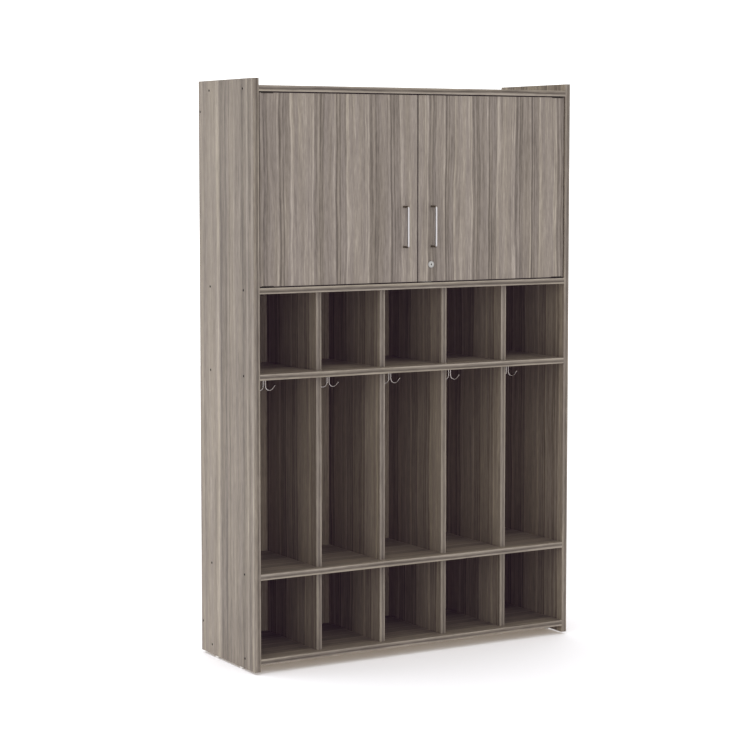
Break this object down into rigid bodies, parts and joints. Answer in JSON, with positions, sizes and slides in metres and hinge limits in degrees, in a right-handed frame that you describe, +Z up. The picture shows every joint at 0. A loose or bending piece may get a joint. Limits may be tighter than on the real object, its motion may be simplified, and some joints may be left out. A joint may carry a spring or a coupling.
{
  "type": "cubby coat locker with cupboard",
  "caption": "Tall floor-standing cubby coat locker: a locking two-door cupboard over rows of cubbies, coat bays with double hooks and low shoe cubbies.",
  "frame": {"origin": "floor level under the glides, at the middle of the width and of the whole depth, pulls included", "axes": "+X to the right seen from the front, -Y out of the front, +Z up"},
  "size_m": [1.181, 0.4096, 1.849],
  "materials": {
    "laminate": "grey elm woodgrain laminate, matt",
    "edge_banding": "grey elm woodgrain edge banding, matt",
    "pull_metal": "satin nickel",
    "hook_wire": "bright plated wire",
    "lock_metal": "satin nickel",
    "zinc_hardware": "zinc plated",
    "black_screw": "black oxide",
    "catch_plastic": "brown moulded plastic",
    "washer_nylon": "natural nylon",
    "glide_nylon": "white nylon",
    "dowel_wood": "raw beech"
  },
  "bodies": {
    "cabinet": {"left_side_panel": "laminate", "right_side_panel": "laminate", "top_panel": "laminate", "cabinet_shelf": "laminate", "cubby_shelf": "laminate", "boot_shelf": "laminate", "bottom_panel": "laminate", "back_panel": "laminate", "lower_partition_1": "laminate", "lower_partition_2": "laminate", "lower_partition_3": "laminate", "lower_partition_4": "laminate", "coat_partition_1": "laminate", "coat_partition_2": "laminate", "coat_partition_3": "laminate", "coat_partition_4": "laminate", "upper_partition_1": "laminate", "upper_partition_2": "laminate", "upper_partition_3": "laminate", "upper_partition_4": "laminate", "shelf_edge_bands": "edge_banding", "upright_edge_bands": "edge_banding", "carcase_screws": "black_screw", "partition_dowels": "dowel_wood", "glides": "glide_nylon", "hinge_frame_leaves": "zinc_hardware", "hinge_pins": "zinc_hardware", "hinge_washers": "washer_nylon", "hinge_frame_screws": "zinc_hardware", "door_catches": "catch_plastic", "catch_screws": "zinc_hardware", "lock_strike": "zinc_hardware", "lock_strike_screws": "zinc_hardware", "coat_hook_1": "hook_wire", "coat_hook_2": "hook_wire", "coat_hook_3": "hook_wire", "coat_hook_4": "hook_wire", "coat_hook_5": "hook_wire", "coat_hook_screws": "zinc_hardware"},
    "left_door": {"left_door": "laminate", "left_door_edge_bands": "edge_banding", "left_hinge_door_leaves": "zinc_hardware", "left_hinge_door_screws": "zinc_hardware", "left_pull": "pull_metal", "left_pull_screws": "zinc_hardware", "left_catch_plate": "zinc_hardware", "left_catch_plate_screw": "zinc_hardware"},
    "right_door": {"right_door": "laminate", "right_door_edge_bands": "edge_banding", "right_hinge_door_leaves": "zinc_hardware", "right_hinge_door_screws": "zinc_hardware", "right_pull": "pull_metal", "right_pull_screws": "zinc_hardware", "right_catch_plate": "zinc_hardware", "right_catch_plate_screw": "zinc_hardware", "lock_housing": "lock_metal", "lock_nut": "zinc_hardware"},
    "lock": {"lock_plug": "lock_metal", "lock_cam": "zinc_hardware", "lock_cam_screw": "zinc_hardware"}
  },
  "joints": [
    {"name": "left_door_hinge", "type": "hinge", "parent": "cabinet", "child": "left_door", "pos_m": [-0.5595, -0.16675, 1.5075], "axis": [0, 0, -1], "range_deg": [0, 110]},
    {"name": "right_door_hinge", "type": "hinge", "parent": "cabinet", "child": "right_door", "pos_m": [0.5595, -0.16675, 1.5075], "axis": [0, 0, 1], "range_deg": [0, 110]},
    {"name": "lock_turn", "type": "hinge", "parent": "right_door", "child": "lock", "pos_m": [0.05, -0.17275, 1.2645], "axis": [0, 1, 0], "range_deg": [0, 90]}
  ]
}
